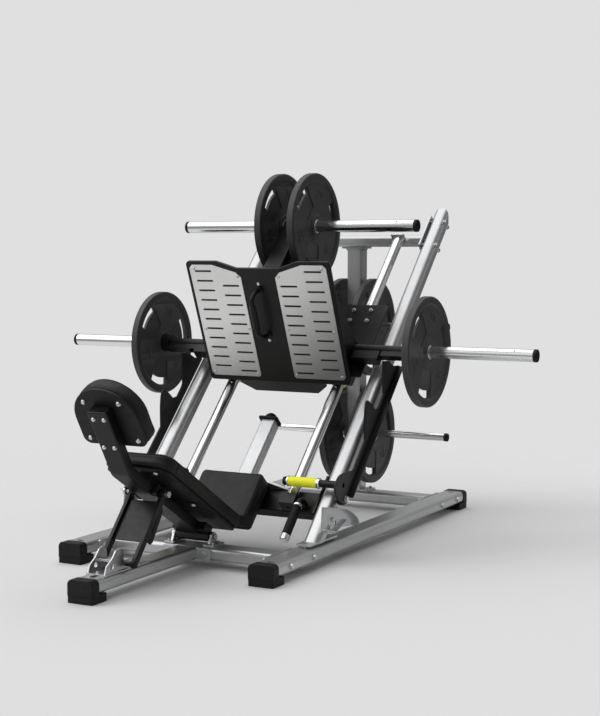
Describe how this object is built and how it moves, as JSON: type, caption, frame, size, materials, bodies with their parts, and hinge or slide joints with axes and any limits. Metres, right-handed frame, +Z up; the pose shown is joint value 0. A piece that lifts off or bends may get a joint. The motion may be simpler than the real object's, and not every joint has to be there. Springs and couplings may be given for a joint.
{
  "type": "leg press machine",
  "caption": "Plate-loaded 45-degree leg press with sliding footplate carriage, reclining back and head pads, safety catch levers and weight plates on horns.",
  "frame": {"origin": "on the floor at the centre of the overall footprint", "axes": "+Z up, +Y towards the tall end where the guide rods rise, +X to the right of a person facing +Y"},
  "size_m": [2.204, 2.4032, 1.5225],
  "materials": {
    "silver_paint": "satin silver powder coat",
    "black_paint": "satin black powder coat",
    "chrome": "polished",
    "black_rubber": "matte",
    "zinc_steel": "zinc plated",
    "black_vinyl": "black upholstery vinyl, faint grain",
    "board_black": "matte",
    "stainless": "brushed",
    "bracket_steel": "satin plated",
    "yellow_grip": "matte",
    "bronze": "sintered bronze",
    "plate_rubber": "matte rubber coating"
  },
  "bodies": {
    "frame": {"left_rail": "silver_paint", "right_rail": "silver_paint", "center_spine": "silver_paint", "front_crossbar": "silver_paint", "rear_crossbar": "silver_paint", "upper_crossbar": "silver_paint", "left_upright": "silver_paint", "right_upright": "silver_paint", "rear_post": "silver_paint", "left_guide_rod": "chrome", "right_guide_rod": "chrome", "foot_caps": "black_rubber", "frame_bolts": "zinc_steel", "fan_brackets": "silver_paint", "seat_beam": "black_paint", "stop_column": "silver_paint", "stop_bumper": "black_rubber", "ratchet_bracket": "bracket_steel", "hinge_lugs": "bracket_steel", "catch_pivot_bolts": "zinc_steel", "storage_horns": "chrome", "horn_end_caps_fixed": "black_rubber", "seat_bracket": "black_paint", "seat_board": "board_black", "seat_pad": "black_vinyl", "hand_tubes": "black_paint", "hand_grips": "black_rubber"},
    "carriage": {"footplate": "black_paint", "tread_left": "stainless", "tread_right": "stainless", "tread_screws": "zinc_steel", "foot_handle": "black_paint", "carriage_frame": "black_paint", "bearing_housings": "black_paint", "bearing_bushes": "bronze", "horn_bar": "black_paint", "side_sleeves": "chrome", "top_arm": "black_paint", "top_sleeves": "chrome", "horn_end_caps_moving": "black_rubber", "carriage_bolts": "zinc_steel"},
    "catch_left": {"catch_lever_left": "black_paint", "catch_grip_left": "yellow_grip"},
    "catch_right": {"catch_lever_right": "black_paint", "catch_grip_right": "yellow_grip"},
    "backrest": {"back_frame": "black_paint", "back_board": "board_black", "back_pad": "black_vinyl", "head_board": "board_black", "head_pad": "black_vinyl", "back_bolts": "zinc_steel"},
    "strut": {"strut": "black_paint"},
    "plate_side_left": {"plate_side_left": "plate_rubber"},
    "plate_side_right": {"plate_side_right": "plate_rubber"},
    "plate_top_left": {"plate_top_left": "plate_rubber"},
    "plate_top_right": {"plate_top_right": "plate_rubber"},
    "plate_upper_left": {"plate_upper_left": "plate_rubber"},
    "plate_upper_right": {"plate_upper_right": "plate_rubber"},
    "plate_lower_left": {"plate_lower_left": "plate_rubber"},
    "plate_lower_right": {"plate_lower_right": "plate_rubber"}
  },
  "joints": [
    {"name": "carriage_slide", "type": "slide", "parent": "frame", "child": "carriage", "axis": [0, 0.7071, 0.7071], "range_m": [0, 0.44]},
    {"name": "catch_left_release", "type": "hinge", "parent": "frame", "child": "catch_left", "pos_m": [-0.479, -0.14092, 0.23999], "axis": [-1, 0, 0], "range_deg": [0, 7]},
    {"name": "catch_right_release", "type": "hinge", "parent": "frame", "child": "catch_right", "pos_m": [0.479, -0.14092, 0.23999], "axis": [-1, 0, 0], "range_deg": [0, 7]},
    {"name": "backrest_recline", "type": "hinge", "parent": "frame", "child": "backrest", "pos_m": [0, -0.46587, 0.112], "axis": [-1, 0, 0], "range_deg": [0, 8]},
    {"name": "strut_swing", "type": "hinge", "parent": "backrest", "child": "strut", "pos_m": [0, -0.78164, 0.3204], "axis": [-1, 0, 0], "range_deg": [-23, 1]},
    {"name": "load_side_left", "type": "slide", "parent": "carriage", "child": "plate_side_left", "axis": [-1, 0, 0], "range_m": [0, 0.44]},
    {"name": "load_side_right", "type": "slide", "parent": "carriage", "child": "plate_side_right", "axis": [1, 0, 0], "range_m": [0, 0.44]},
    {"name": "load_top_left", "type": "slide", "parent": "carriage", "child": "plate_top_left", "axis": [-1, 0, 0], "range_m": [0, 0.45]},
    {"name": "load_top_right", "type": "slide", "parent": "carriage", "child": "plate_top_right", "axis": [1, 0, 0], "range_m": [0, 0.45]},
    {"name": "load_upper_left", "type": "slide", "parent": "frame", "child": "plate_upper_left", "axis": [-1, 0, 0], "range_m": [0, 0.35]},
    {"name": "load_upper_right", "type": "slide", "parent": "frame", "child": "plate_upper_right", "axis": [1, 0, 0], "range_m": [0, 0.35]},
    {"name": "load_lower_left", "type": "slide", "parent": "frame", "child": "plate_lower_left", "axis": [-1, 0, 0], "range_m": [0, 0.35]},
    {"name": "load_lower_right", "type": "slide", "parent": "frame", "child": "plate_lower_right", "axis": [1, 0, 0], "range_m": [0, 0.35]}
  ],
  "couplings": [
    {"joint": "strut_swing", "follows": "backrest_recline", "ratio": -2.82}
  ]
}
